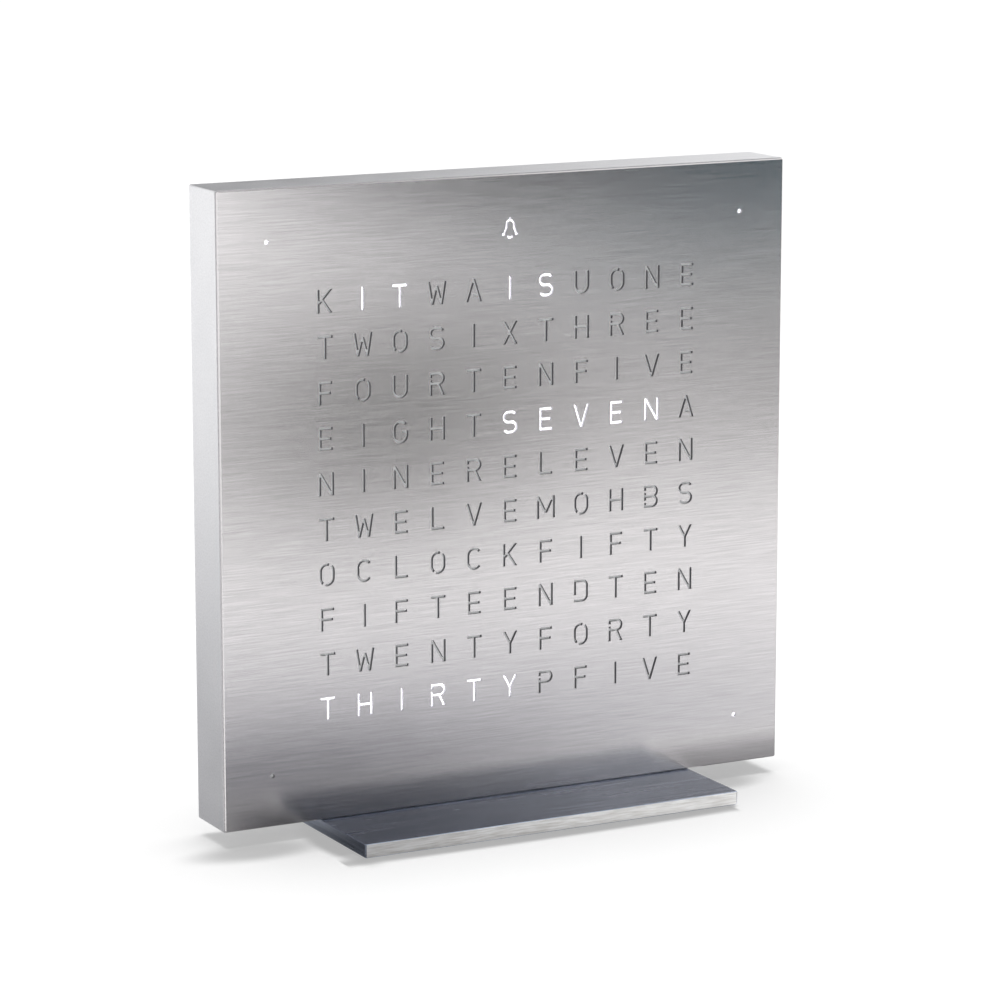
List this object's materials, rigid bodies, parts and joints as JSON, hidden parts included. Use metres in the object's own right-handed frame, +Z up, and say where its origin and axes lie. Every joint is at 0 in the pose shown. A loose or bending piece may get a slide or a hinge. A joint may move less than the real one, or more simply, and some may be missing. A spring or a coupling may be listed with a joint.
{
  "type": "word clock",
  "caption": "Square table clock that tells the time in lit words: a thin stencilled steel face on an aluminium frame, standing upright on a low steel base plate.",
  "frame": {"origin": "on the ground, under the middle of the clock", "axes": "+Z up; the lettered face looks towards -Y; +X to the right when facing it"},
  "size_m": [0.135, 0.056, 0.1385],
  "materials": {
    "cover_steel": "fine horizontal brushing, satin",
    "base_steel": "fine brushing along the plate, satin",
    "frame_aluminium": "bead-blasted and clear anodised, matt",
    "rear_plastic": "fine moulded texture",
    "button_plastic": "smooth matt",
    "inlet_plastic": "moulded",
    "opal_sheet": "translucent opal",
    "grid_plastic": "moulded white",
    "board_laminate": "solder mask on glass-fibre laminate",
    "lamp_white": "clear cap over a white lamp",
    "chip_black": "moulded epoxy",
    "capacitor_tan": "fired ceramic",
    "screw_steel": "zinc plated",
    "spacer_brass": "turned",
    "cell_steel": "stamped sheet",
    "magnet_nickel": "nickel plated",
    "pad_rubber": "matt"
  },
  "bodies": {
    "clock_body": {"cover_magnets": "magnet_nickel", "diffuser": "opal_sheet", "light_grid": "grid_plastic", "lamp_board": "board_laminate", "letter_lamps": "lamp_white", "minute_lamps": "lamp_white", "alarm_lamp": "lamp_white", "light_sensor": "chip_black", "lamp_board_screws": "screw_steel", "driver_chips": "chip_black", "frame": "frame_aluminium", "controller_board": "board_laminate", "board_spacers": "spacer_brass", "board_screws": "screw_steel", "board_connector": "chip_black", "processor": "chip_black", "clock_chip": "chip_black", "crystal": "cell_steel", "tap_sensor": "chip_black", "regulator": "chip_black", "choke": "chip_black", "capacitors": "capacitor_tan", "buzzer": "chip_black", "cell_holder": "inlet_plastic", "coin_cell": "cell_steel", "cell_clip": "cell_steel", "power_inlet": "inlet_plastic", "inlet_pin": "spacer_brass", "switches": "inlet_plastic", "rear_cover": "rear_plastic", "rear_screws": "screw_steel", "base_plate": "base_steel", "base_screws": "screw_steel", "base_pad": "pad_rubber"},
    "front_cover": {"front_cover": "cover_steel"},
    "minute_button": {"minute_button": "button_plastic"},
    "mode_button": {"mode_button": "button_plastic"},
    "hour_button": {"hour_button": "button_plastic"}
  },
  "joints": [
    {"name": "front_cover_pull", "type": "slide", "parent": "clock_body", "child": "front_cover", "axis": [0, -1, 0], "range_m": [0, 0.02]},
    {"name": "minute_button_press", "type": "slide", "parent": "clock_body", "child": "minute_button", "axis": [0, -1, 0], "range_m": [0, 0.0003], "stiffness_N_per_m": 2000},
    {"name": "mode_button_press", "type": "slide", "parent": "clock_body", "child": "mode_button", "axis": [0, -1, 0], "range_m": [0, 0.0003], "stiffness_N_per_m": 2000},
    {"name": "hour_button_press", "type": "slide", "parent": "clock_body", "child": "hour_button", "axis": [0, -1, 0], "range_m": [0, 0.0003], "stiffness_N_per_m": 2000}
  ]
}
